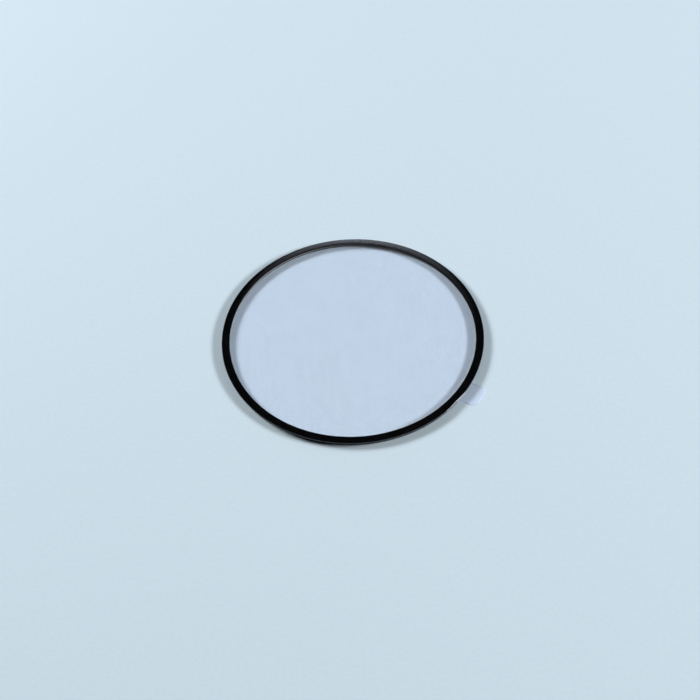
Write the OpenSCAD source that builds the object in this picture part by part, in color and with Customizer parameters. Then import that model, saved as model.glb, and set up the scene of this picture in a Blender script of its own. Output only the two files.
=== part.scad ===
// Round smartwatch screen protector, as it comes out of its packet: a bevel-edged cover glass with a
// black printed border, held on a ring of double-sided foam tape, which a clear liner with a pull tab
// covers until the glass is fitted.
// All sizes are millimetres. The origin is the middle of the liner's underside, and +Z points up
// through the glass. Seen from above with +X to the right, -Y is the side towards the user.

/* [Cover glass] */
// Diameter of the glass, which drops into the recess of the watch's bezel
glass_d = 36; // [26:0.5:48]
// Thickness of the glass in the middle
glass_t = 0.33; // [0.3:0.01:0.6]
// Width of the curved bevel round the top of the glass
bevel_w = 1.25; // [0.5:0.05:2.5]
// How far the bevel falls from the flat top to the rim
bevel_drop = 0.2; // [0.08:0.01:0.24]
// Safety chamfer round the lower edge of the rim
arris = 0.03; // [0.01:0.005:0.05]

/* [Index flat] */
// How deep the small flat cuts into the rim
flat_depth = 0.09; // [0.04:0.01:0.3]
// Direction that the flat faces, in degrees from +X
flat_angle = -42; // [-180:1:180]

/* [Printed border] */
// Width of the black border
print_w = 0.9; // [0.8:0.05:3]
// Thickness of the ink
print_t = 0.03; // [0.015:0.005:0.05]
// How far the ink stays back from the rim of the glass
print_inset = 0.2; // [0.1:0.01:0.3]

/* [Laminated film] */
// Thickness of the clear adhesive between the ink and the film
laminate_t = 0.02; // [0.015:0.005:0.05]
// Thickness of the film that holds the splinters of a broken glass together
film_t = 0.05; // [0.03:0.01:0.15]
// How far the film stays back from the rim of the glass
film_inset = 0.2; // [0.08:0.01:0.3]

/* [Tape ring] */
// How far the tape stays back from the film's edge
tape_outer_setback = 0.05; // [0.02:0.01:0.2]
// How far the tape stays back from the border's inner edge
tape_inner_setback = 0.08; // [0.05:0.01:0.3]
// Thickness of the adhesive that holds the tape to the film
upper_adhesive_t = 0.04; // [0.02:0.01:0.1]
// Thickness of the tape's black foam
carrier_t = 0.25; // [0.03:0.01:0.5]
// Thickness of the adhesive that sticks to the watch
lower_adhesive_t = 0.05; // [0.02:0.01:0.1]

/* [Release liner] */
// Thickness of the liner
liner_t = 0.1; // [0.05:0.01:0.25]
// How far the liner stays back from the rim of the glass
liner_inset = 0.2; // [0.02:0.01:0.4]
// Width of the pull tab
tab_w = 3.3; // [2:0.1:8]
// How far the pull tab reaches past the rim of the glass
tab_reach = 2.15; // [1.5:0.05:8]
// Direction that the pull tab points, in degrees from +X
tab_angle = -34; // [-180:1:180]
// Radius of the tab's two outer corners
tab_corner_r = 0.9; // [0.3:0.05:1]
// Radius where the tab's sides run into the liner
tab_root_r = 0.5; // [0.2:0.05:1.5]

/* [Hidden] */

// Segments of a full circle
$fn = 180;
// Extra length of a cutting tool past the face that it cuts
cut_over = 1;
// How far the arc of the tab's root runs into the outlines that it joins
root_bite = 0.01;

glass_r = glass_d / 2;

// The bevel is an arc that leaves the flat top without a crease
bevel_r = (bevel_w * bevel_w + bevel_drop * bevel_drop) / (2 * bevel_drop);

// How far the rings' edges stay back from the rim of the glass
print_inner_inset = print_inset + print_w;
tape_outer_inset = film_inset + tape_outer_setback;
tape_inner_inset = print_inner_inset - tape_inner_setback;

// Height of each layer's underside, from the liner up
lower_adhesive_z = liner_t;
carrier_z = lower_adhesive_z + lower_adhesive_t;
upper_adhesive_z = carrier_z + carrier_t;
film_z = upper_adhesive_z + upper_adhesive_t;
laminate_z = film_z + film_t;
print_z = laminate_z + laminate_t;
glass_z = print_z + print_t;

liner_r = glass_r - liner_inset;
tab_end = glass_r + tab_reach;

// Centre of the circle that rounds the corner between the tab's side and the liner's edge
root_y = tab_w / 2 + tab_root_r - root_bite;
root_d = liner_r + tab_root_r - root_bite;
root_x = sqrt(root_d * root_d - root_y * root_y);

// Everything beyond the index flat, for what follows the glass at an inset from its rim
module beyond_flat(inset) {
    rotate(flat_angle)
        translate([glass_r - flat_depth - inset, -glass_r])
            square([glass_r, glass_d]);
}

// Outline of the glass, drawn in by an inset all round, flat included
module lens_outline(inset) {
    difference() {
        circle(r = glass_r - inset);
        beyond_flat(inset);
    }
}

// Flat ring between two insets from the rim of the glass
module lens_ring(outer_inset, inner_inset, thickness) {
    linear_extrude(thickness)
        difference() {
            lens_outline(outer_inset);
            circle(r = glass_r - inner_inset);
        }
}

// Half section of the glass, with the curved bevel above and the chamfer below
module glass_section() {
    difference() {
        intersection() {
            square([glass_r, glass_t]);
            union() {
                square([glass_r - bevel_w, glass_t]);
                translate([glass_r - bevel_w, glass_t - bevel_r])
                    circle(r = bevel_r);
            }
        }
        polygon([[glass_r - arris, 0], [glass_r, arris], [glass_r + cut_over, arris],
                 [glass_r + cut_over, -cut_over], [glass_r - arris, -cut_over]]);
    }
}

// Pull tab along +X, with a flare at its root and two rounded corners at its end
module tab_outline() {
    corner_x = tab_end - tab_corner_r;
    corner_y = tab_w / 2 - tab_corner_r;
    polygon([[0, 0], [root_x, -root_y], [root_x, -tab_w / 2], [corner_x, -tab_w / 2],
             [tab_end, -corner_y], [tab_end, corner_y],
             [corner_x, tab_w / 2], [root_x, tab_w / 2], [root_x, root_y]]);
    for (side = [-1, 1])
        translate([corner_x, side * corner_y])
            circle(r = tab_corner_r);
}

// Clear film under the tape, with the tab that it is peeled off by
module release_liner() {
    color([0.78, 0.88, 0.95, 0.35])
        linear_extrude(liner_t)
            difference() {
                union() {
                    circle(r = liner_r);
                    rotate(tab_angle)
                        tab_outline();
                }
                for (side = [-1, 1])
                    rotate(tab_angle)
                        translate([root_x, side * root_y])
                            circle(r = tab_root_r);
            }
}

// Adhesive face that sticks to the watch once the liner is off
module lower_adhesive() {
    color([0.72, 0.76, 0.8, 0.6])
        translate([0, 0, lower_adhesive_z])
            lens_ring(tape_outer_inset, tape_inner_inset, lower_adhesive_t);
}

// Black foam in the middle of the tape
module tape_carrier() {
    color([0.03, 0.03, 0.035])
        translate([0, 0, carrier_z])
            lens_ring(tape_outer_inset, tape_inner_inset, carrier_t);
}

// Adhesive face that holds the tape to the film
module upper_adhesive() {
    color([0.72, 0.76, 0.8, 0.6])
        translate([0, 0, upper_adhesive_z])
            lens_ring(tape_outer_inset, tape_inner_inset, upper_adhesive_t);
}

// Clear film that keeps a broken glass in one piece
module shatterproof_film() {
    color([0.8, 0.88, 0.94, 0.3])
        translate([0, 0, film_z])
            linear_extrude(film_t)
                lens_outline(film_inset);
}

// Clear adhesive all over the film: it runs under the border and fills the step inside it
module laminating_adhesive() {
    color([0.85, 0.9, 0.94, 0.3])
        translate([0, 0, laminate_z])
            union() {
                linear_extrude(laminate_t)
                    lens_outline(film_inset);
                linear_extrude(laminate_t + print_t)
                    circle(r = glass_r - print_inner_inset);
            }
}

// Black ink on the underside of the glass
module border_print() {
    color([0.01, 0.01, 0.012])
        translate([0, 0, print_z])
            lens_ring(print_inset, print_inner_inset, print_t);
}

// Tempered glass with a curved bevel, a chamfered lower edge and a small flat in the rim
module cover_glass() {
    color([0.75, 0.86, 0.95, 0.35])
        translate([0, 0, glass_z])
            difference() {
                rotate_extrude()
                    glass_section();
                translate([0, 0, -cut_over])
                    linear_extrude(glass_t + 2 * cut_over)
                        beyond_flat(0);
            }
}

release_liner();
lower_adhesive();
tape_carrier();
upper_adhesive();
shatterproof_film();
laminating_adhesive();
border_print();
cover_glass();
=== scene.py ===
"""Looks and studio for a round smartwatch screen protector that lies on its release liner.

The classes hold their sizes in millimetres. Each new piece is drawn in millimetres, as by hand, and
is then brought to metres and left in its place in the mesh, with its object at the origin.
"""

import logging
import math
from dataclasses import dataclass, field
from enum import Enum
from typing import Callable

import bpy
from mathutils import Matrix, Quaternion, Vector


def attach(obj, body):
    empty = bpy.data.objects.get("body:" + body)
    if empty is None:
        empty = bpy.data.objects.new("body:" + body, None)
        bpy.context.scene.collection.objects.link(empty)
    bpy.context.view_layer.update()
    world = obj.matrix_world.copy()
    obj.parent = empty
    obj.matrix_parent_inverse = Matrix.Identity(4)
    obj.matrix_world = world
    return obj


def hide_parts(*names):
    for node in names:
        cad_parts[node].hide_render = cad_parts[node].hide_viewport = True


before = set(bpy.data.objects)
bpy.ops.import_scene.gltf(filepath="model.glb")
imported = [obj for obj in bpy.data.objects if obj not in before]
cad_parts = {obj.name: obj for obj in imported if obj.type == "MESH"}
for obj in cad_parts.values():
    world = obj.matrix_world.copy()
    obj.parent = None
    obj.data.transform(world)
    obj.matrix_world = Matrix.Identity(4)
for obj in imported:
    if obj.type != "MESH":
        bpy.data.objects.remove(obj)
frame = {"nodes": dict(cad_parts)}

MM = 0.001
# Points closer than this, in millimetres, are one point
MERGE_MM = 0.0005
# Values that a pattern's dark and light patches reach; it rarely leaves them
DARK_PATCH, LIGHT_PATCH = 0.3, 0.7
# Gloss of a clear surface rises towards a low angle with this power
GLOSS_RISE = 5.0

Colour = tuple[float, float, float, float]
Point = tuple[float, float, float]

log = logging.getLogger("protector")


def linear(hex_code: str) -> Colour:
    """Turn an sRGB hex value into a linear colour.

    Args:
        hex_code: Six hex digits after a hash, such as "#0A0A0C".

    Returns:
        Red, green, blue and a full alpha, as a shader socket takes them.
    """
    channels = [int(hex_code[i : i + 2], 16) / 255 for i in (1, 3, 5)]
    red, green, blue = (c / 12.92 if c <= 0.04045 else ((c + 0.055) / 1.055) ** 2.4 for c in channels)
    return red, green, blue, 1.0


def per_metre(size_mm: float) -> float:
    """Give the pattern scale, in repeats per metre, of a pattern that repeats every size_mm."""
    return 1 / (size_mm * MM)


def add_node(
    tree: bpy.types.NodeTree, kind: str, inputs: dict | None = None, **settings: object
) -> bpy.types.Node:
    """Add a shader node, set its properties, and fill or link its inputs.

    Args:
        tree: The node tree that it goes into.
        kind: Blender's name of the node type.
        inputs: Input name or number, with a plain value or the output socket that feeds it.
        **settings: Properties of the node.

    Returns:
        The new node.
    """
    node = tree.nodes.new(kind)
    for name, value in settings.items():
        setattr(node, name, value)
    for name, value in (inputs or {}).items():
        if isinstance(value, bpy.types.NodeSocket):
            tree.links.new(value, node.inputs[name])
        else:
            node.inputs[name].default_value = value
    return node


class Slot(Enum):
    """Material slots of the record that the new pieces take."""

    LINER = "liner_film"
    GLASS = "tempered_glass"


class Body(Enum):
    """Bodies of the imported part."""

    LINER = "liner"
    LENS = "lens"


class GlassFace(Enum):
    """Surfaces of the cover glass, by the number of their material."""

    POLISHED = 0
    FLAT = 1
    INK = 2
    BONDED = 3
    WALL = 4
    CHAMFER = 5


class LinerFace(Enum):
    """Surfaces of the liner, by the number of their material."""

    FILM = 0
    TAB_EDGE = 1
    ROUND_EDGE = 2


@dataclass(frozen=True)
class Finish:
    """What every surface finish shares: its name and the steps of making a material.

    In the finishes below, dark and light are sRGB hex values, rough is the range of the roughness, bump
    is the depth of the relief in millimetres with the strength that it shows at, and passed is the sRGB
    hex value of the lamp light that one surface lets through.
    """

    name: str

    def open_tree(self) -> tuple[bpy.types.Material, bpy.types.NodeTree, bpy.types.NodeSocket]:
        """Start an empty node material.

        Returns:
            The material, its node tree and the Object coordinates that its patterns read.
        """
        material = bpy.data.materials.new(self.name)
        material.use_nodes = True
        tree = material.node_tree
        tree.nodes.clear()
        place = add_node(tree, "ShaderNodeTexCoord").outputs["Object"]
        return material, tree, place

    def close_tree(self, tree: bpy.types.NodeTree, surface: bpy.types.NodeSocket) -> None:
        """Link the finished shader to the material's output."""
        add_node(tree, "ShaderNodeOutputMaterial", {"Surface": surface})

    def noise(
        self, tree: bpy.types.NodeTree, place: bpy.types.NodeSocket, size_mm: float, detail: float = 2.0
    ) -> bpy.types.NodeSocket:
        """Add a cloudy pattern.

        Args:
            tree: The node tree.
            place: The coordinates that the pattern reads.
            size_mm: Real size of one patch.
            detail: How many finer layers ride on it.

        Returns:
            The pattern's value, from 0 to 1.
        """
        inputs = {"Vector": place, "Scale": per_metre(size_mm), "Detail": detail}
        return add_node(tree, "ShaderNodeTexNoise", inputs).outputs["Fac"]

    def span(
        self, tree: bpy.types.NodeTree, value: bpy.types.NodeSocket, low: float, high: float
    ) -> bpy.types.NodeSocket:
        """Spread a pattern's middle values over a range.

        Args:
            tree: The node tree.
            value: The pattern.
            low: What a dark patch becomes.
            high: What a light patch becomes.

        Returns:
            The spread value.
        """
        inputs = {
            "Value": value,
            "From Min": DARK_PATCH,
            "From Max": LIGHT_PATCH,
            "To Min": low,
            "To Max": high,
        }
        return add_node(tree, "ShaderNodeMapRange", inputs).outputs["Result"]

    def tint(
        self, tree: bpy.types.NodeTree, value: bpy.types.NodeSocket, dark: str, light: str
    ) -> bpy.types.NodeSocket:
        """Colour a pattern between two sRGB hex values.

        Args:
            tree: The node tree.
            value: The pattern.
            dark: Colour where the pattern is low.
            light: Colour where the pattern is high.

        Returns:
            The colour socket.
        """
        ramp = add_node(tree, "ShaderNodeValToRGB", {"Fac": value})
        low, high = ramp.color_ramp.elements
        low.position, high.position = DARK_PATCH, LIGHT_PATCH
        low.color, high.color = linear(dark), linear(light)
        return ramp.outputs["Color"]

    def relief(
        self, tree: bpy.types.NodeTree, height: bpy.types.NodeSocket, depth_mm: float, strength: float
    ) -> bpy.types.NodeSocket:
        """Turn a pattern into surface relief.

        Args:
            tree: The node tree.
            height: The pattern.
            depth_mm: Real depth of the relief.
            strength: How much of it shows, from 0 to 1.

        Returns:
            The normal for a shader.
        """
        inputs = {"Height": height, "Distance": depth_mm * MM, "Strength": strength}
        return add_node(tree, "ShaderNodeBump", inputs).outputs["Normal"]

    def sheen_share(self, tree: bpy.types.NodeTree, straight_on: float) -> bpy.types.NodeSocket:
        """Give the share of light that a thin clear sheet mirrors, the same on both of its faces.

        Args:
            tree: The node tree.
            straight_on: Share that it mirrors when seen straight on.

        Returns:
            The share, which rises steeply towards a low angle.
        """
        facing = add_node(tree, "ShaderNodeLayerWeight", {"Blend": 0.5}).outputs["Facing"]
        steep = add_node(tree, "ShaderNodeMath", {0: facing, 1: GLOSS_RISE}, operation="POWER").outputs[0]
        inputs = {"Value": steep, "To Min": straight_on, "To Max": 1.0}
        return add_node(tree, "ShaderNodeMapRange", inputs).outputs["Result"]

    def lets_lamps_through(
        self, tree: bpy.types.NodeTree, surface: bpy.types.NodeSocket, passed: str
    ) -> bpy.types.NodeSocket:
        """Let lamp light through a clear surface, so that what lies under it is lit.

        Args:
            tree: The node tree.
            surface: The shader that the eye sees.
            passed: sRGB hex value of the light that one surface lets through.

        Returns:
            The mixed shader.
        """
        rays = add_node(tree, "ShaderNodeLightPath")
        clear = add_node(tree, "ShaderNodeBsdfTransparent", {"Color": linear(passed)})
        inputs = {0: rays.outputs["Is Shadow Ray"], 1: surface, 2: clear.outputs[0]}
        return add_node(tree, "ShaderNodeMixShader", inputs).outputs[0]


@dataclass(frozen=True)
class TemperedGlass(Finish):
    """Chemically tempered soda-lime glass, polished and coated against fingerprints."""

    colour: str = "#FDFEFF"
    ior: float = 1.52
    smear_mm: float = 5.0
    wave_mm: float = 9.0
    rough: tuple[float, float] = (0.004, 0.022)
    bump: tuple[float, float] = (0.001, 0.2)
    gloss_level: float = 0.5

    def build(self) -> bpy.types.Material:
        """Make the material: clear, with the faint unevenness that a polished sheet keeps."""
        material, tree, place = self.open_tree()
        # The wiped coating leaves soft patches where the gloss is a touch duller
        smears = self.noise(tree, place, self.smear_mm, detail=4.0)
        gloss = self.span(tree, smears, *self.rough)
        # Drawn sheet is never quite flat, so reflections waver slightly across it
        waver = self.relief(tree, self.noise(tree, place, self.wave_mm, detail=0.0), *self.bump)
        shader = add_node(
            tree,
            "ShaderNodeBsdfPrincipled",
            {
                "Base Color": linear(self.colour),
                "Roughness": gloss,
                "IOR": self.ior,
                "Specular IOR Level": self.gloss_level,
                "Transmission Weight": 1.0,
                "Normal": waver,
            },
        )
        self.close_tree(tree, self.lets_lamps_through(tree, shader.outputs[0], "#FFFFFF"))
        return material


@dataclass(frozen=True)
class GroundGlass(Finish):
    """Glass edge left by a fine grinding wheel: frosted, so it catches light all along its line."""

    dark: str = "#DDE4EA"
    light: str = "#FBF7F8"
    grit_mm: float = 0.05
    rough: tuple[float, float] = (0.42, 0.62)
    bump: tuple[float, float] = (0.01, 0.4)
    clearness: float = 0.1
    passed: str = "#B4B8BC"

    def build(self) -> bpy.types.Material:
        """Make the material: more frosted than clear, with the wheel's grain."""
        material, tree, place = self.open_tree()
        grain = self.noise(tree, place, self.grit_mm, detail=1.0)
        shader = add_node(
            tree,
            "ShaderNodeBsdfPrincipled",
            {
                "Base Color": self.tint(tree, grain, self.dark, self.light),
                "Roughness": self.span(tree, grain, *self.rough),
                "IOR": 1.52,
                "Transmission Weight": self.clearness,
                "Normal": self.relief(tree, grain, *self.bump),
            },
        )
        self.close_tree(tree, self.lets_lamps_through(tree, shader.outputs[0], self.passed))
        return material


@dataclass(frozen=True)
class BorderInk(Finish):
    """Opaque black glass ink, screen printed and baked."""

    dark: str = "#010102"
    light: str = "#040405"
    mesh_mm: float = 0.16
    unevenness: float = 0.15
    pool_mm: float = 2.4
    rough: tuple[float, float] = (0.3, 0.42)
    bump: tuple[float, float] = (0.004, 0.35)

    def build(self) -> bpy.types.Material:
        """Make the material: near black, with the screen's weave and slightly uneven pools."""
        material, tree, place = self.open_tree()
        pools = self.noise(tree, place, self.pool_mm, detail=3.0)
        # The screen's threads leave a regular dimple where the ink levelled between them
        weave = add_node(
            tree,
            "ShaderNodeTexVoronoi",
            {"Vector": place, "Scale": per_metre(self.mesh_mm), "Randomness": self.unevenness},
        ).outputs["Distance"]
        shader = add_node(
            tree,
            "ShaderNodeBsdfPrincipled",
            {
                "Base Color": self.tint(tree, pools, self.dark, self.light),
                "Roughness": self.span(tree, pools, *self.rough),
                "IOR": 1.5,
                "Specular IOR Level": 0.03,
                "Normal": self.relief(tree, weave, *self.bump),
            },
        )
        self.close_tree(tree, shader.outputs[0])
        return material


@dataclass(frozen=True)
class BlackFoam(Finish):
    """Closed-cell polyethylene foam, die cut, so that its side shows the opened cells."""

    dark: str = "#050506"
    light: str = "#101012"
    cell_mm: float = 0.09
    rough: tuple[float, float] = (0.6, 0.8)
    bump: tuple[float, float] = (0.02, 0.5)

    def build(self) -> bpy.types.Material:
        """Make the material: matt black with the fine pits of the cells."""
        material, tree, place = self.open_tree()
        grain = add_node(
            tree, "ShaderNodeTexVoronoi", {"Vector": place, "Scale": per_metre(self.cell_mm)}
        ).outputs["Distance"]
        shader = add_node(
            tree,
            "ShaderNodeBsdfPrincipled",
            {
                "Base Color": self.tint(tree, grain, self.dark, self.light),
                "Roughness": self.span(tree, grain, *self.rough),
                "Specular IOR Level": 0.08,
                "Normal": self.relief(tree, grain, *self.bump),
            },
        )
        self.close_tree(tree, shader.outputs[0])
        return material


@dataclass(frozen=True)
class TapeAdhesive(Finish):
    """Acrylic pressure-sensitive adhesive, a thin tacky coat on black foam."""

    dark: str = "#0A0B0D"
    light: str = "#17191D"
    bubble_mm: float = 0.14
    flow_mm: float = 0.9
    rough: tuple[float, float] = (0.35, 0.5)
    bump: tuple[float, float] = (0.008, 0.45)

    def build(self) -> bpy.types.Material:
        """Make the material: tacky, dark from the foam behind it, with fine trapped bubbles."""
        material, tree, place = self.open_tree()
        bubbles = add_node(
            tree, "ShaderNodeTexVoronoi", {"Vector": place, "Scale": per_metre(self.bubble_mm)}
        ).outputs["Distance"]
        flow = self.noise(tree, place, self.flow_mm)
        shader = add_node(
            tree,
            "ShaderNodeBsdfPrincipled",
            {
                "Base Color": self.tint(tree, flow, self.dark, self.light),
                "Roughness": self.span(tree, flow, *self.rough),
                "IOR": 1.47,
                "Specular IOR Level": 0.2,
                "Normal": self.relief(tree, bubbles, *self.bump),
            },
        )
        self.close_tree(tree, shader.outputs[0])
        return material


@dataclass(frozen=True)
class ClearSheet(Finish):
    """A clear plastic sheet that lies against glass, so that only its haze is seen."""

    haze_colour: str = "#EEF1F8"
    passed: str = "#FFFFFF"
    haze: tuple[float, float] = (0.0, 0.004)
    cloud_mm: float = 3.5
    roughness: float = 0.35
    step_r_mm: float = 0.0
    step_w_mm: float = 0.09
    step_haze_and_highlight: float = 0.85
    painted_highlight_deg: float = 140.0
    fading: float = 5.0

    def build(self) -> bpy.types.Material:
        """Make the material: see-through, with a trace of haze in soft clouds."""
        material, tree, place = self.open_tree()
        clouds = self.noise(tree, place, self.cloud_mm, detail=3.0)
        milk = add_node(
            tree,
            "ShaderNodeBsdfPrincipled",
            {
                "Base Color": linear(self.haze_colour),
                "Roughness": self.roughness,
                "Specular IOR Level": 0.0,
            },
        )
        clear = add_node(tree, "ShaderNodeBsdfTransparent", {"Color": linear(self.passed)})
        share = self.span(tree, clouds, *self.haze)
        if self.step_r_mm:
            # Where the roller pressed the film over the ink's step, the adhesive doesn't wet its foot
            # fully, which leaves a fine pale line; it is painted brighter on two opposite sides as a
            # painted highlight
            share = add_node(tree, "ShaderNodeMath", {0: share, 1: self.step_line(tree, place)}).outputs[0]
        mixed = add_node(tree, "ShaderNodeMixShader", {0: share, 1: clear.outputs[0], 2: milk.outputs[0]})
        self.close_tree(tree, self.lets_lamps_through(tree, mixed.outputs[0], self.passed))
        return material

    def step_line(self, tree: bpy.types.NodeTree, place: bpy.types.NodeSocket) -> bpy.types.NodeSocket:
        """Give the haze along a round step, with a painted highlight that makes it strongest on the side
        toward the left lamp and on the opposite side.

        Args:
            tree: The node tree.
            place: Object coordinates.

        Returns:
            The share of haze and painted highlight.
        """
        inputs = {0: place, 1: (1, 1, 0)}
        flat = add_node(tree, "ShaderNodeVectorMath", inputs, operation="MULTIPLY").outputs[0]
        radius = add_node(tree, "ShaderNodeVectorMath", {0: flat}, operation="LENGTH").outputs["Value"]
        inputs = {
            "Value": radius,
            "From Min": (self.step_r_mm - self.step_w_mm) * MM,
            "From Max": self.step_r_mm * MM,
            "To Max": self.step_haze_and_highlight,
        }
        line = add_node(tree, "ShaderNodeMapRange", inputs).outputs["Result"]
        # Painted highlight: the line is strongest towards this direction, the side of the left lamp, and on
        # the opposite side
        turn = math.radians(self.painted_highlight_deg)
        ahead = add_node(tree, "ShaderNodeVectorMath", {0: flat}, operation="NORMALIZE").outputs[0]
        inputs = {0: ahead, 1: (math.cos(turn), math.sin(turn), 0)}
        along = add_node(tree, "ShaderNodeVectorMath", inputs, operation="DOT_PRODUCT").outputs["Value"]
        along = add_node(tree, "ShaderNodeMath", {0: along}, operation="ABSOLUTE").outputs[0]
        along = add_node(tree, "ShaderNodeMath", {0: along, 1: self.fading}, operation="POWER").outputs[0]
        return add_node(tree, "ShaderNodeMath", {0: line, 1: along}, operation="MULTIPLY").outputs[0]


@dataclass(frozen=True)
class LinerFilm(Finish):
    """Siliconised clear polyester: glossy, with the faint lavender haze of the release coat."""

    milk: str = "#A0ACE8"
    passed: str = "#FFFFFF"
    haze: tuple[float, float] = (0.058, 0.076)
    cloud_mm: float = 4.0
    streak_mm: tuple[float, float] = (0.5, 9.0)
    web_deg: float = 24.0
    straight_on: float = 0.005
    milk_rough: float = 0.5
    sheen_rough: float = 0.06

    def build(self) -> bpy.types.Material:
        """Make the material: see-through, mirror-like at a low angle, hazy in drawn-out streaks."""
        material, tree, place = self.open_tree()
        # The coating roller leaves long streaks across the web
        across, along = self.streak_mm
        turn = (0, 0, math.radians(self.web_deg))
        drawn = add_node(
            tree,
            "ShaderNodeMapping",
            {"Vector": place, "Rotation": turn, "Scale": (1, across / along, 1)},
        ).outputs["Vector"]
        streaks = self.noise(tree, drawn, across)
        clouds = self.noise(tree, place, self.cloud_mm)
        both = add_node(tree, "ShaderNodeMix", {"Factor": 0.5, "A": streaks, "B": clouds}).outputs["Result"]
        share = self.span(tree, both, *self.haze)
        scatter = add_node(
            tree,
            "ShaderNodeBsdfPrincipled",
            {"Base Color": linear(self.milk), "Roughness": self.milk_rough, "Specular IOR Level": 0.0},
        )
        sheen = add_node(
            tree,
            "ShaderNodeBsdfGlossy",
            {"Color": linear("#FFFFFF"), "Roughness": self.sheen_rough},
        )
        clear = add_node(tree, "ShaderNodeBsdfTransparent", {"Color": linear(self.passed)})
        hazy = add_node(tree, "ShaderNodeMixShader", {0: share, 1: clear.outputs[0], 2: scatter.outputs[0]})
        mirror = self.sheen_share(tree, self.straight_on)
        mixed = add_node(tree, "ShaderNodeMixShader", {0: mirror, 1: hazy.outputs[0], 2: sheen.outputs[0]})
        self.close_tree(tree, self.lets_lamps_through(tree, mixed.outputs[0], self.passed))
        return material


@dataclass(frozen=True)
class DieCutEdge(Finish):
    """Edge of a clear film where the die sheared it: rough, so it glows pale against the sheet."""

    dark: str = "#BCC6DA"
    light: str = "#DCE2F0"
    tear_mm: float = 0.09
    rough: tuple[float, float] = (0.35, 0.55)
    bump: tuple[float, float] = (0.01, 0.4)
    passed: str = "#E8E8EE"
    passes_lamps: bool = True

    def build(self) -> bpy.types.Material:
        """Make the material: frosted with the fine vertical tear of the cut."""
        material, tree, place = self.open_tree()
        tear = self.noise(tree, place, self.tear_mm, detail=1.0)
        shader = add_node(
            tree,
            "ShaderNodeBsdfPrincipled",
            {
                "Base Color": self.tint(tree, tear, self.dark, self.light),
                "Roughness": self.span(tree, tear, *self.rough),
                "IOR": 1.6,
                "Normal": self.relief(tree, tear, *self.bump),
            },
        )
        surface = shader.outputs[0]
        if self.passes_lamps:
            surface = self.lets_lamps_through(tree, surface, self.passed)
        self.close_tree(tree, surface)
        return material


@dataclass(frozen=True)
class PaleBoard(Finish):
    """Smooth pale card under the object."""

    dark: str = "#D9ECF7"
    light: str = "#DDEFF9"
    tooth_mm: float = 0.5
    bump: tuple[float, float] = (0.01, 0.15)

    def build(self) -> bpy.types.Material:
        """Make the material: matt, a little blue, with a paper tooth too fine to show as a pattern."""
        material, tree, place = self.open_tree()
        tooth = self.noise(tree, place, self.tooth_mm)
        shader = add_node(
            tree,
            "ShaderNodeBsdfPrincipled",
            {
                "Base Color": self.tint(tree, tooth, self.dark, self.light),
                "Roughness": 0.9,
                "Specular IOR Level": 0.1,
                "Normal": self.relief(tree, tooth, *self.bump),
            },
        )
        self.close_tree(tree, shader.outputs[0])
        return material


class Pen:
    """Draws one outline in edit mode, point by point, from a single vertex. Sizes are millimetres."""

    def __init__(self, name: str, start: Point) -> None:
        """Put down the first vertex and enter edit mode.

        Args:
            name: Name of the new piece.
            start: Where the outline begins.
        """
        mesh = bpy.data.meshes.new(name)
        mesh.from_pydata([start], [], [])
        self.piece = bpy.data.objects.new(name, mesh)
        bpy.context.scene.collection.objects.link(self.piece)
        bpy.ops.object.select_all(action="DESELECT")
        self.piece.select_set(True)
        bpy.context.view_layer.objects.active = self.piece
        bpy.ops.object.mode_set(mode="EDIT")
        bpy.ops.mesh.select_mode(type="VERT")
        bpy.ops.mesh.select_all(action="SELECT")
        self.at = Vector(start)

    def line_to(self, point: Point) -> None:
        """Extrude the last vertex in a straight line to a point."""
        step = Vector(point) - self.at
        bpy.ops.mesh.extrude_vertices_move(TRANSFORM_OT_translate={"value": step})
        self.at = Vector(point)

    def through(self, points: list[Point]) -> None:
        """Run straight lines through a list of points."""
        for point in points:
            self.line_to(point)

    def close(self) -> None:
        """Join the ends where they meet."""
        bpy.ops.mesh.select_all(action="SELECT")
        bpy.ops.mesh.remove_doubles(threshold=MERGE_MM)

    def finish(self, smooth_deg: float) -> bpy.types.Object:
        """Leave edit mode, bring the piece to metres and smooth its gentle edges.

        Args:
            smooth_deg: Faces that meet at less than this angle are shaded as one.

        Returns:
            The finished piece, at the origin, unturned and unscaled.
        """
        bpy.ops.mesh.select_all(action="SELECT")
        bpy.ops.mesh.normals_make_consistent(inside=False)
        bpy.ops.mesh.select_all(action="DESELECT")
        bpy.ops.object.mode_set(mode="OBJECT")
        self.piece.scale = (MM, MM, MM)
        bpy.ops.object.transform_apply(location=False, rotation=False, scale=True)
        bpy.ops.object.shade_smooth_by_angle(angle=math.radians(smooth_deg))
        return self.piece


def arc(
    centre: tuple[float, float], radius: float, start: float, end: float, steps: int
) -> list[tuple[float, float]]:
    """Give points along an arc in a plane, without its first point.

    Args:
        centre: The arc's centre.
        radius: Its radius.
        start: Angle at which it begins, in degrees.
        end: Angle at which it ends, in degrees.
        steps: How many straight pieces it is made of.

    Returns:
        The points after the first, in order.
    """
    turns = [math.radians(start + (end - start) * i / steps) for i in range(1, steps + 1)]
    return [(centre[0] + radius * math.cos(t), centre[1] + radius * math.sin(t)) for t in turns]


def paint_faces(
    piece: bpy.types.Object, surface: Enum, chosen: Callable[[bpy.types.MeshPolygon], bool]
) -> None:
    """Give the chosen faces of a piece one of its materials, and report how many took it.

    Args:
        piece: The piece.
        surface: The surface that they belong to, whose value is the material's number.
        chosen: Tells for a face, in metres, whether it takes the material.
    """
    faces = [face for face in piece.data.polygons if chosen(face)]
    for face in faces:
        face.material_index = surface.value
    log.info("%s, %s: %d faces", piece.name, surface.name.lower(), len(faces))


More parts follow.
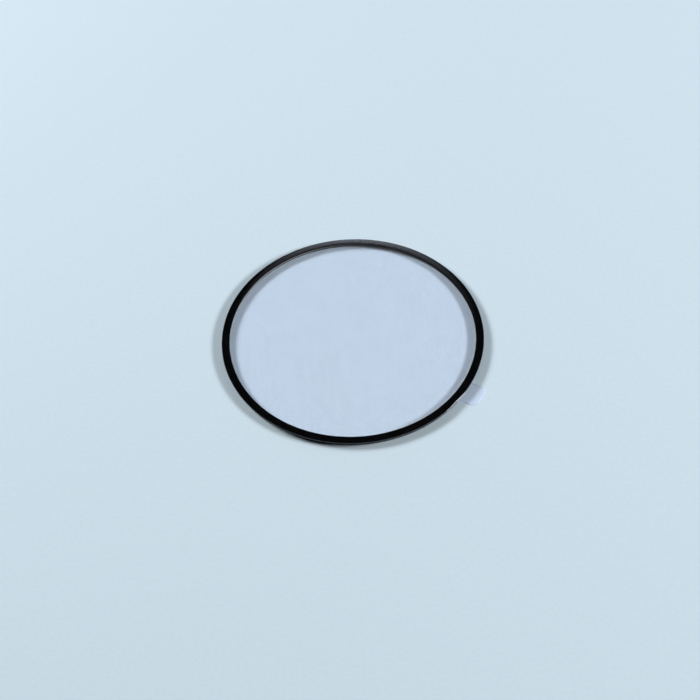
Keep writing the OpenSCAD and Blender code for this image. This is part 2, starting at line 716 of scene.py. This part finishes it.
@dataclass
class CoverGlass:
    """Tempered glass with a curved bevel, a chamfered lower edge and a ground flat in the rim."""

    radius: float = 18.0
    thickness: float = 0.33
    underside_z: float = 0.54
    bevel_w: float = 1.25
    bevel_drop: float = 0.2
    arris: float = 0.03
    rim_break: float = 0.03
    print_outer_r: float = 17.8
    print_inner_r: float = 16.9
    flat_depth: float = 0.09
    flat_deg: float = -42.0
    flat_chamfer: float = 0.02
    arc_steps: int = 14
    turn_steps: int = 320
    smooth_deg: float = 24.0

    @property
    def bevel_r(self) -> float:
        """Radius of the bevel's arc, which leaves the flat top without a crease."""
        return (self.bevel_w**2 + self.bevel_drop**2) / (2 * self.bevel_drop)

    @property
    def flat_way(self) -> Vector:
        """Direction that the flat faces."""
        turn = math.radians(self.flat_deg)
        return Vector((math.cos(turn), math.sin(turn), 0))

    def section(self) -> list[Point]:
        """Half section of the glass, from the middle of the underside out and back over the top.

        Returns:
            The section's points after the first, in the plane of X and Z.
        """
        low, high = self.underside_z, self.underside_z + self.thickness
        rim_z = high - self.bevel_drop
        slope = math.degrees(math.asin(self.bevel_w / self.bevel_r))
        hub = (self.radius - self.bevel_w, high - self.bevel_r)
        over = arc(hub, self.bevel_r, 90 - slope, 90, self.arc_steps)
        # The edge between wall and bevel is broken by a fine ground chamfer, which catches the light
        inner = self.radius - self.rim_break
        shoulder = [(inner, hub[1] + math.sqrt(self.bevel_r**2 - (inner - hub[0]) ** 2))]
        points = [
            (self.print_inner_r, low),
            (self.print_outer_r, low),
            (self.radius - self.arris, low),
            (self.radius, low + self.arris),
            (self.radius, rim_z - self.rim_break),
            *shoulder,
            *over,
            (0.0, high),
        ]
        return [(x, 0.0, z) for x, z in points]

    def grind(self, way: Vector, depth: float) -> None:
        """Cut away all that lies beyond a plane and close the cut.

        Args:
            way: Outward direction of the cut face.
            depth: Distance of the plane from the middle of the underside, along that direction.
        """
        bpy.ops.mesh.select_all(action="SELECT")
        start = Vector((0, 0, self.underside_z)) + way * depth
        bpy.ops.mesh.bisect(plane_co=start, plane_no=way, use_fill=True, clear_outer=True)

    def build(self) -> bpy.types.Object:
        """Spin the section, grind the flat and its two chamfers.

        Returns:
            The glass, in metres.
        """
        pen = Pen("protector_glass", (0.0, 0.0, self.underside_z))
        pen.through(self.section())
        bpy.ops.mesh.select_all(action="SELECT")
        bpy.ops.mesh.spin(steps=self.turn_steps, angle=math.tau, center=(0, 0, 0), axis=(0, 0, 1))
        bpy.ops.mesh.select_all(action="SELECT")
        bpy.ops.mesh.remove_doubles(threshold=MERGE_MM)
        bpy.ops.mesh.normals_make_consistent(inside=False)
        edge = self.radius - self.flat_depth
        # How far the bevel has fallen at the middle of the flat
        fall = (edge - self.radius + self.bevel_w) ** 2 / (2 * self.bevel_r)
        up = Vector((0, 0, 1))
        self.grind(self.flat_way, edge)
        top = edge + self.thickness - fall - self.flat_chamfer
        self.grind((self.flat_way + up).normalized(), top / math.sqrt(2))
        self.grind((self.flat_way - up).normalized(), (edge - self.flat_chamfer) / math.sqrt(2))
        # More than the steps of the bevel and less than any ground edge, which stays sharp
        return pen.finish(self.smooth_deg)

    def dress(self, piece: bpy.types.Object) -> None:
        """Give the glass its polished, ground and printed surfaces, with the wall and chamfer painted
        darker as painted shade.
        """
        finishes = {
            GlassFace.POLISHED: TemperedGlass("tempered_soda_lime_glass"),
            GlassFace.FLAT: GroundGlass("ground_glass_edge"),
            GlassFace.INK: BorderInk("baked_black_ink_on_glass"),
            # The adhesive wets the underside, so that face has no gloss of its own
            GlassFace.BONDED: TemperedGlass("tempered_glass_bonded_face", gloss_level=0.0),
            # The round wall is ground finer than the flat; its colour is painted dark, as painted shade for
            # the black ink and the shaded foot seen through it
            GlassFace.WALL: GroundGlass(
                "ground_glass_wall_painted_dark", dark="#34383E", light="#4E545A", clearness=0.3
            ),
            # The narrow chamfer above it catches the lamps and draws a fine paler line beside them; its
            # grey is painted shade, darker than ground glass
            GlassFace.CHAMFER: GroundGlass(
                "ground_glass_chamfer_painted_grey", dark="#4C5158", light="#70767C", clearness=0.3
            ),
        }
        for finish in finishes.values():
            piece.data.materials.append(finish.build())
        way = self.flat_way
        # The flat and its chamfers lie past this distance, which leaves a little slack
        reach = (self.radius - self.flat_depth - self.flat_chamfer * 1.2) * MM
        # How far normals point up: less than the first on the wall, more than the second on the bevel
        wall_up, bevel_up = 0.3, 0.8

        def on_flat(face: bpy.types.MeshPolygon) -> bool:
            """True for the flat and its chamfers."""
            return face.center.dot(way) > reach and face.normal.dot(way) > 0.6

        def under_ink(face: bpy.types.MeshPolygon) -> bool:
            """True for the underside from the border's inner edge out, with the chamfer."""
            return face.normal.z < -0.5 and Vector(face.center[:2]).length > self.print_inner_r * MM

        def bonded_face(face: bpy.types.MeshPolygon) -> bool:
            """True for the clear underside."""
            return face.normal.z < -0.9 and Vector(face.center[:2]).length < self.print_inner_r * MM

        def at_rim(face: bpy.types.MeshPolygon) -> bool:
            """True for the outermost faces."""
            return Vector(face.center[:2]).length > (self.radius - self.rim_break) * MM

        def round_wall(face: bpy.types.MeshPolygon) -> bool:
            """True for the straight wall of the rim."""
            return abs(face.normal.z) < wall_up and at_rim(face)

        def round_chamfer(face: bpy.types.MeshPolygon) -> bool:
            """True for the chamfer between wall and bevel."""
            return wall_up <= face.normal.z < bevel_up and at_rim(face)

        # The flat comes last, because it runs across the wall and the chamfer
        paint_faces(piece, GlassFace.WALL, round_wall)
        paint_faces(piece, GlassFace.CHAMFER, round_chamfer)
        paint_faces(piece, GlassFace.BONDED, bonded_face)
        paint_faces(piece, GlassFace.INK, under_ink)
        paint_faces(piece, GlassFace.FLAT, on_flat)


@dataclass
class ReleaseLiner:
    """Clear liner under the tape, with its pull tab, rounded corners and die-cut edge."""

    radius: float = 17.8
    thickness: float = 0.1
    tab_w: float = 3.3
    tab_end: float = 20.15
    tab_deg: float = -34.0
    corner_r: float = 0.9
    root_r: float = 0.5
    edge_break: float = 0.012
    edge_steps: int = 2
    round_steps: int = 300
    corner_steps: int = 12
    root_steps: int = 10
    smooth_deg: float = 20.0
    level: float = 0.95

    def outline(self) -> list[Point]:
        """Outline of the liner, tab included, turned to where the tab points.

        Returns:
            The outline's points, anticlockwise, the first one repeated at the end.
        """
        half = self.tab_w / 2
        hub_y = half + self.root_r
        hub_x = math.sqrt((self.radius + self.root_r) ** 2 - hub_y**2)
        lean = math.degrees(math.atan2(hub_y, hub_x))
        turn = math.radians(lean)
        start = (self.radius * math.cos(turn), self.radius * math.sin(turn))
        end_x, end_y = self.tab_end - self.corner_r, half - self.corner_r
        flat = [
            start,
            *arc((0, 0), self.radius, lean, 360 - lean, self.round_steps),
            *arc((hub_x, -hub_y), self.root_r, 180 - lean, 90, self.root_steps),
            *arc((end_x, -end_y), self.corner_r, -90, 0, self.corner_steps),
            *arc((end_x, end_y), self.corner_r, 0, 90, self.corner_steps),
            (hub_x, half),
            *arc((hub_x, hub_y), self.root_r, -90, -180 + lean, self.root_steps),
        ]
        swing = math.radians(self.tab_deg)
        cos, sin = math.cos(swing), math.sin(swing)
        return [(x * cos - y * sin, x * sin + y * cos, 0.0) for x, y in flat]

    def build(self) -> bpy.types.Object:
        """Draw the outline, fill it and raise it to the film's thickness.

        Returns:
            The liner, in metres.
        """
        points = self.outline()
        pen = Pen("protector_liner", points[0])
        pen.through(points[1:])
        pen.close()
        bpy.ops.mesh.edge_face_add()
        bpy.ops.mesh.extrude_region_move(TRANSFORM_OT_translate={"value": (0, 0, self.thickness)})
        # Only the upper edge is rounded over: the die came from that side
        bpy.ops.mesh.region_to_loop()
        bpy.ops.mesh.bevel(
            offset=self.edge_break, offset_type="OFFSET", segments=self.edge_steps, affect="EDGES"
        )
        # Less than the steps of that rounding, so that the level sheet is shaded as level
        return pen.finish(self.smooth_deg)

    def dress(self, piece: bpy.types.Object) -> None:
        """Give the sheet its film, the tab's cut side a paler edge and the round side a painted dark one.
        """
        finishes = {
            LinerFace.FILM: LinerFilm("siliconised_polyester"),
            LinerFace.TAB_EDGE: DieCutEdge("die_cut_polyester_edge"),
            # Under the ring the cut edge is painted near black: a painted reflection of the black foam
            # above it and painted shade under the ring
            LinerFace.ROUND_EDGE: DieCutEdge(
                "die_cut_edge_painted_dark_under_tape", dark="#07080A", light="#121418", passes_lamps=False
            ),
        }
        for finish in finishes.values():
            piece.data.materials.append(finish.build())
        reach = (self.radius + self.edge_break) * MM

        def on_tab_side(face: bpy.types.MeshPolygon) -> bool:
            """True for the cut side of the tab."""
            return abs(face.normal.z) < self.level and Vector(face.center[:2]).length > reach

        def on_round_side(face: bpy.types.MeshPolygon) -> bool:
            """True for the round cut side under the ring."""
            return abs(face.normal.z) < self.level and Vector(face.center[:2]).length <= reach

        paint_faces(piece, LinerFace.TAB_EDGE, on_tab_side)
        paint_faces(piece, LinerFace.ROUND_EDGE, on_round_side)


@dataclass
class LensStack:
    """Film, adhesive, ink and tape under the glass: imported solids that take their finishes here."""

    finishes: dict[str, Finish] = field(
        default_factory=lambda: {
            "border_print": BorderInk("baked_black_ink"),
            "tape_carrier": BlackFoam("black_polyethylene_foam"),
            "upper_adhesive": TapeAdhesive("acrylic_adhesive_upper", dark="#5C636E", light="#8A929E"),
            "lower_adhesive": TapeAdhesive("acrylic_adhesive_lower"),
            "shatterproof_film": ClearSheet(
                "clear_polyester_film", haze_colour="#FDFDFF", haze=(0.02, 0.03)
            ),
            "laminating_adhesive": ClearSheet(
                "optically_clear_adhesive", haze=(0.0, 0.003), cloud_mm=2.2, roughness=0.6, step_r_mm=16.9
            ),
        }
    )

    def dress(self, nodes: dict[str, bpy.types.Object]) -> None:
        """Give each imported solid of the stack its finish.

        Args:
            nodes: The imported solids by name.
        """
        for name, finish in self.finishes.items():
            slots = nodes[name].data.materials
            slots.clear()
            slots.append(finish.build())
            log.info("%s takes %s", name, finish.name)


@dataclass
class Lamp:
    """A soft box aimed at the object."""

    name: str
    azimuth: float
    elevation: float
    width: float
    height: float
    watts: float
    distance: float = 0.6

    def place(self) -> bpy.types.Object:
        """Hang the lamp and aim it at the object.

        Returns:
            The lamp.
        """
        data = bpy.data.lights.new(self.name, "AREA")
        data.shape, data.size, data.size_y = "RECTANGLE", self.width, self.height
        data.energy = self.watts
        lamp = bpy.data.objects.new(self.name, data)
        turn, rise = math.radians(self.azimuth), math.radians(self.elevation)
        way = Vector((math.cos(rise) * math.cos(turn), math.cos(rise) * math.sin(turn), math.sin(rise)))
        lamp.location = way * self.distance
        lamp.rotation_mode = "QUATERNION"
        lamp.rotation_quaternion = (-way).to_track_quat("-Z", "Y")
        bpy.context.scene.collection.objects.link(lamp)
        return lamp


@dataclass
class Studio:
    """Floor, lamps, sky and camera of the photograph's view."""

    floor_size: float = 1.1
    floor_drop: float = 0.00002
    clear_bounces: int = 48
    back_level: float = 1.95
    window_x: float = 0.04
    window_back: tuple[float, float] = (0.0, 0.35)
    window_side: tuple[float, float] = (0.3, 0.0)
    window_height: tuple[float, float] = (0.78, 0.44)
    horizon_height: tuple[float, float] = (0.42, 0.26)
    room_level: float = 0.02
    room_colour: str = "#E2EEFF"
    backdrop_colour: str = "#F4F8FB"
    view_elevation: float = 51.5
    roll: float = -2.9
    aim: Point = (-0.45, -2.13, 0.35)
    distance: float = 225.8
    lens: float = 85.0
    clip: tuple[float, float] = (0.005, 20.0)
    lamps: list[Lamp] = field(
        default_factory=lambda: [
            Lamp("left_soft_box", 150, 26.5, 0.28, 0.12, 3.55),
            Lamp("right_soft_box", -7, 24.5, 0.26, 0.09, 3.35),
        ]
    )

    def lay_floor(self) -> bpy.types.Object:
        """Lay the pale card that the object lies on.

        Returns:
            The floor.
        """
        bpy.ops.object.select_all(action="DESELECT")
        bpy.ops.mesh.primitive_plane_add(size=self.floor_size, location=(0, 0, -self.floor_drop))
        floor = bpy.context.active_object
        floor.name = "floor"
        bpy.ops.object.transform_apply(location=True, rotation=False, scale=False)
        floor.data.materials.append(PaleBoard("pale_card").build())
        return floor

    def hang_sky(self) -> None:
        """Make the room's light: bright low at the back, dark overhead and pale where it is seen."""
        world = bpy.data.worlds.new("room")
        bpy.context.scene.world = world
        world.use_nodes = True
        tree = world.node_tree
        tree.nodes.clear()
        way = add_node(tree, "ShaderNodeTexCoord").outputs["Generated"]
        apart = add_node(tree, "ShaderNodeSeparateXYZ", {"Vector": way})
        path = add_node(tree, "ShaderNodeLightPath").outputs
        # Glass seen at a low angle mirrors the pale wall all round, which lights nothing else
        low, full = self.horizon_height
        inputs = {"Value": apart.outputs["Z"], "From Min": low, "From Max": full}
        wall = add_node(tree, "ShaderNodeMapRange", inputs, interpolation_type="SMOOTHSTEP").outputs[0]
        inputs = {0: path["Is Glossy Ray"], 1: path["Is Transmission Ray"]}
        through = add_node(tree, "ShaderNodeMath", inputs, operation="MAXIMUM").outputs[0]
        mirrored = add_node(tree, "ShaderNodeMath", {0: wall, 1: through}, operation="MULTIPLY").outputs[0]
        inputs = {0: self.window(tree, apart), 1: mirrored}
        bright = add_node(tree, "ShaderNodeMath", inputs, operation="MAXIMUM").outputs[0]
        level = add_node(tree, "ShaderNodeMath", {0: bright, 1: self.room_level}).outputs[0]
        inputs = {"Color": linear(self.room_colour), "Strength": level}
        room = add_node(tree, "ShaderNodeBackground", inputs)
        inputs = {"Color": linear(self.backdrop_colour), "Strength": 1.0}
        pale = add_node(tree, "ShaderNodeBackground", inputs)
        inputs = {0: path["Is Camera Ray"], 1: room.outputs[0], 2: pale.outputs[0]}
        mixed = add_node(tree, "ShaderNodeMixShader", inputs)
        add_node(tree, "ShaderNodeOutputWorld", {"Surface": mixed.outputs[0]})

    def window(self, tree: bpy.types.NodeTree, apart: bpy.types.Node) -> bpy.types.NodeSocket:
        """Add the soft bright patch at the back, which the far side of the bevel mirrors.

        Args:
            tree: The world's node tree.
            apart: Node that gives the direction's parts.

        Returns:
            The patch's brightness.
        """
        inputs = {0: apart.outputs["X"], 1: self.window_x}
        offset = add_node(tree, "ShaderNodeMath", inputs, operation="SUBTRACT").outputs[0]
        sideways = add_node(tree, "ShaderNodeMath", {0: offset}, operation="ABSOLUTE").outputs[0]
        limits = (
            (apart.outputs["Y"], self.window_back),
            (sideways, self.window_side),
            (apart.outputs["Z"], self.window_height),
        )
        level = None
        for part, (start, full) in limits:
            inputs = {"Value": part, "From Min": start, "From Max": full}
            reach = add_node(tree, "ShaderNodeMapRange", inputs, interpolation_type="SMOOTHSTEP").outputs[0]
            inputs = {0: reach, 1: self.back_level if level is None else level}
            level = add_node(tree, "ShaderNodeMath", inputs, operation="MULTIPLY").outputs[0]
        return level

    def set_camera(self) -> bpy.types.Object:
        """Put the camera at the photograph's viewing angle.

        Returns:
            The camera.
        """
        data = bpy.data.cameras.new("view")
        data.lens = self.lens
        data.clip_start, data.clip_end = self.clip
        camera = bpy.data.objects.new("view", data)
        rise = math.radians(self.view_elevation)
        back = Vector((0, -math.cos(rise), math.sin(rise)))
        camera.location = (Vector(self.aim) + back * self.distance) * MM
        camera.rotation_mode = "QUATERNION"
        look = (-back).to_track_quat("-Z", "Y")
        roll = Quaternion((0, 0, 1), math.radians(self.roll))
        camera.rotation_quaternion = look @ roll
        bpy.context.scene.collection.objects.link(camera)
        bpy.context.scene.camera = camera
        return camera

    def build(self) -> None:
        """Set up the whole studio."""
        scene = bpy.context.scene
        scene.view_settings.view_transform = "Standard"
        # Clear layers lie close on each other, so a ray passes many of them
        scene.cycles.transparent_max_bounces = self.clear_bounces
        scene.cycles.caustics_refractive = False
        scene.cycles.caustics_reflective = False
        self.lay_floor()
        self.hang_sky()
        for lamp in self.lamps:
            lamp.place()
        self.set_camera()


def main() -> None:
    """Build each sub-assembly in order and report it."""
    logging.basicConfig(level=logging.INFO, format="%(message)s")
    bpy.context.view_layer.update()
    Studio().build()
    log.info("studio is set")

    glass = CoverGlass()
    lens = glass.build()
    glass.dress(lens)
    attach(lens, Body.LENS.value)
    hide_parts("cover_glass")
    log.info("cover glass: %d faces", len(lens.data.polygons))

    liner = ReleaseLiner()
    film = liner.build()
    liner.dress(film)
    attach(film, Body.LINER.value)
    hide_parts("release_liner")
    log.info("release liner: %d faces", len(film.data.polygons))

    LensStack().dress(frame["nodes"])


if __name__ == "__main__":
    main()
